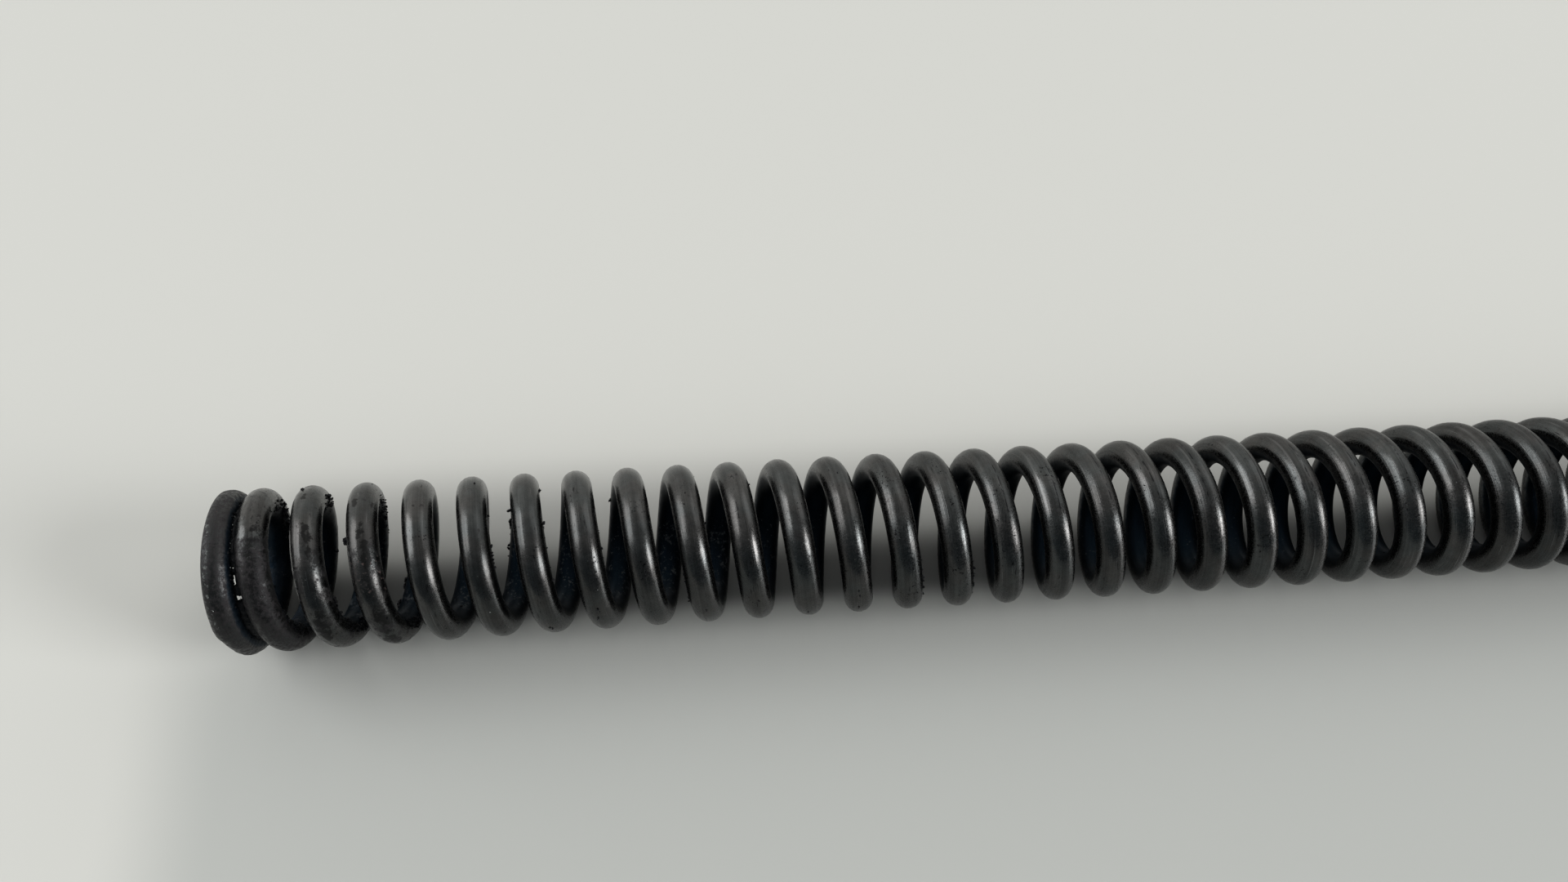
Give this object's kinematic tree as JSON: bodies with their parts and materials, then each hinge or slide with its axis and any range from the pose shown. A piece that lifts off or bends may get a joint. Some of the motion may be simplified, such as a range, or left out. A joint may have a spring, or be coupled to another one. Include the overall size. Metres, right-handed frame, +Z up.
{
  "type": "fork spring",
  "caption": "Long coil spring of dark round wire, wound right-handed, closed and ground flat at both ends, for a telescopic fork.",
  "frame": {"origin": "under the middle of the spring, on the surface that it lies on", "axes": "+X along the coil's axis, towards the clean end; +Z up, away from the surface"},
  "size_m": [0.37, 0.026, 0.026],
  "materials": {
    "spring_wire": "dark oxide left by oil tempering, semi-gloss, with drawing lines along the wire, grime and rust on the first turns"
  },
  "bodies": {
    "root": {"coil_spring": "spring_wire"}
  },
  "joints": []
}
